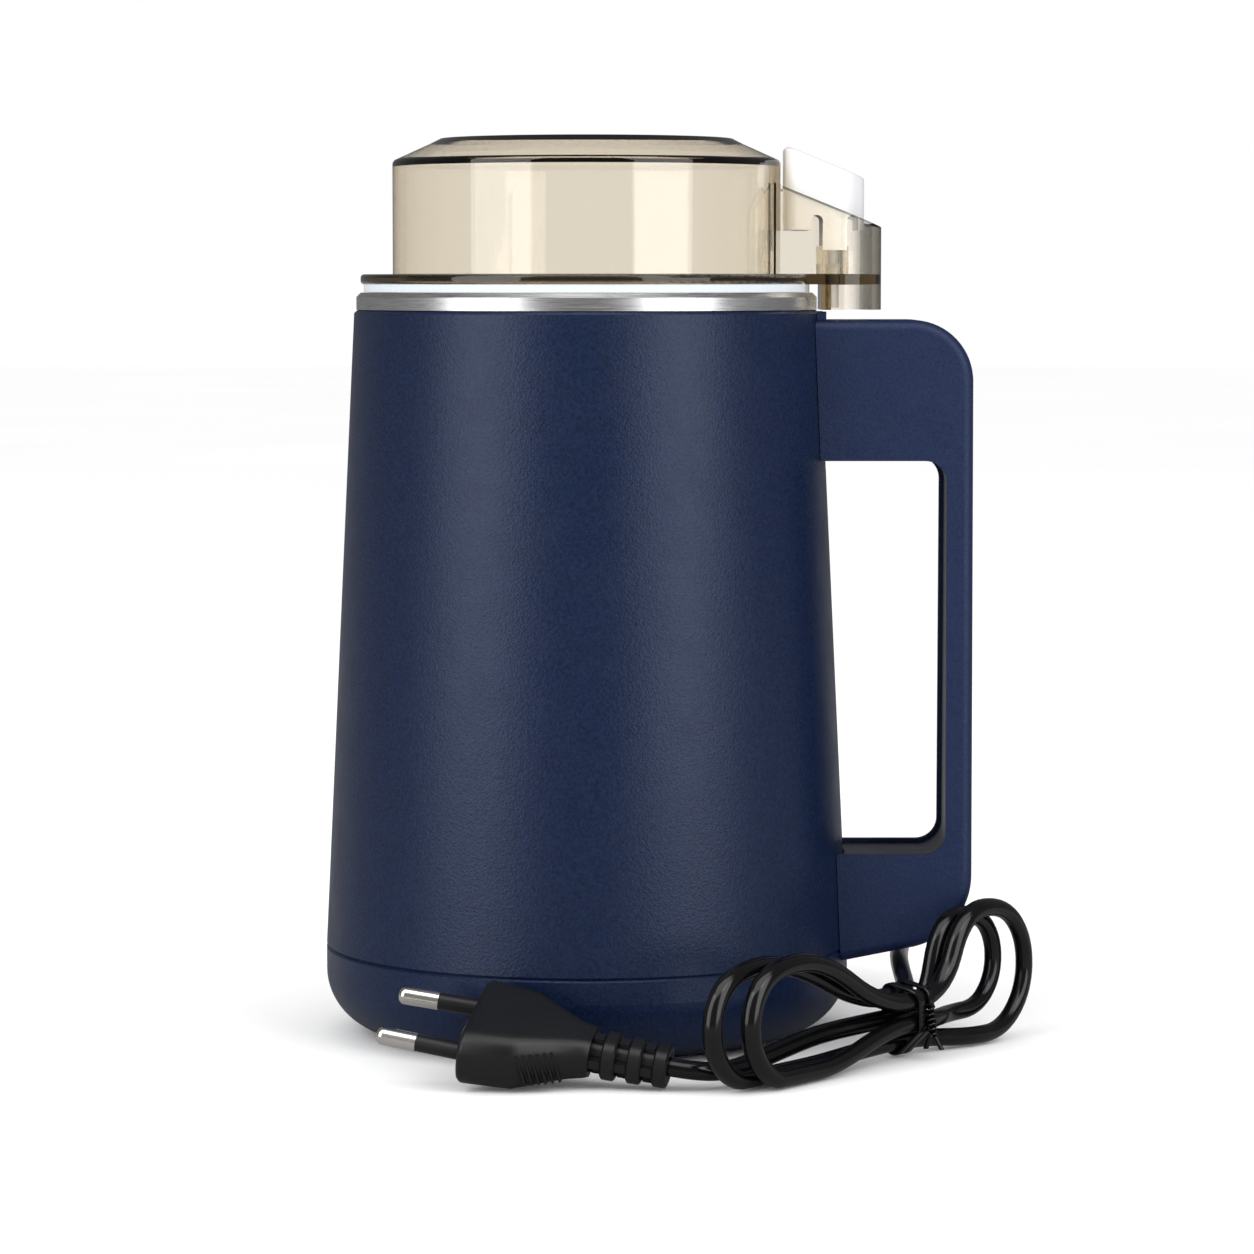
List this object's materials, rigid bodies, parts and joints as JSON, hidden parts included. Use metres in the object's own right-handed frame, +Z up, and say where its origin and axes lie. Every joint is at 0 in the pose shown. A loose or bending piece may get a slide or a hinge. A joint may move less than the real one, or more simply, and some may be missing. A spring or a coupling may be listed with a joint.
{
  "type": "electric grinder",
  "caption": "Mug-shaped electric blade grinder with a side handle, a clear lid with a push button over the handle, a steel bowl and a tied mains cord.",
  "frame": {"origin": "on the spindle axis, on the plane the foot stands on", "axes": "+Z up along the spindle, +X towards the handle, -Y towards the viewer"},
  "size_m": [0.1636, 0.1762, 0.2063],
  "materials": {
    "navy_plastic": "fine-grained satin",
    "navy_satin": "satin",
    "amber_clear": "clear, smoky amber",
    "white_seal": "smooth",
    "white_plastic": "semi-gloss",
    "steel": "spun",
    "screw_steel": "plated",
    "bearing_bronze": "sintered",
    "black_rubber": "matte",
    "bracket_plastic": "moulded",
    "laminations": "stacked sheet",
    "copper": "enamelled wire",
    "carbon": "pressed carbon",
    "switch_black": "moulded",
    "cord_black": "semi-gloss",
    "plug_black": "satin",
    "pin_metal": "plated"
  },
  "bodies": {
    "body": {"body_shell": "navy_plastic", "handle_shell": "navy_plastic", "base_cover": "navy_satin", "handle_inner_cover": "navy_satin", "grinding_bowl": "steel", "base_screws": "screw_steel", "bowl_screws": "screw_steel", "motor_bolts": "screw_steel", "deck_screws": "screw_steel", "handle_screws": "screw_steel", "brush_springs": "screw_steel", "upper_bearing": "bearing_bronze", "lower_bearing": "bearing_bronze", "foot_ring": "black_rubber", "bowl_damper": "black_rubber", "shaft_seal": "black_rubber", "upper_motor_bracket": "bracket_plastic", "lower_motor_bracket": "bracket_plastic", "brush_holders": "bracket_plastic", "stator_core": "laminations", "field_coils": "copper", "carbon_brushes": "carbon", "microswitch": "switch_black", "cord_gland": "cord_black", "cord_lead": "cord_black", "cord_hank": "cord_black", "cord_tail": "cord_black", "twist_tie": "cord_black", "plug_body": "plug_black", "pin_sleeves": "plug_black", "plug_pins": "pin_metal"},
    "rotor": {"motor_shaft": "steel", "blade": "steel", "blade_nut": "steel", "armature_core": "laminations", "armature_windings": "copper", "commutator": "copper", "cooling_fan": "bracket_plastic"},
    "lid": {"lid_shell": "amber_clear", "lid_seal": "white_seal", "button_spring": "screw_steel"},
    "button": {"lid_button": "white_plastic"},
    "plunger": {"switch_plunger": "switch_black"}
  },
  "joints": [
    {"name": "rotor_spin", "type": "hinge", "parent": "body", "child": "rotor", "pos_m": [0, 0, 0.1], "axis": [0, 0, 1], "continuous": true},
    {"name": "lid_lift", "type": "slide", "parent": "body", "child": "lid", "axis": [0, 0, 1], "range_m": [0, 0.11]},
    {"name": "button_press", "type": "slide", "parent": "lid", "child": "button", "axis": [0, 0, -1], "range_m": [0, 0.005], "stiffness_N_per_m": 400, "springref_m": -0.004, "deforming": ["button_spring"]},
    {"name": "plunger_press", "type": "slide", "parent": "body", "child": "plunger", "axis": [0, 0, -1], "range_m": [0, 0.002]}
  ],
  "couplings": [
    {"joint": "plunger_press", "follows": "button_press", "ratio": 0.4}
  ]
}
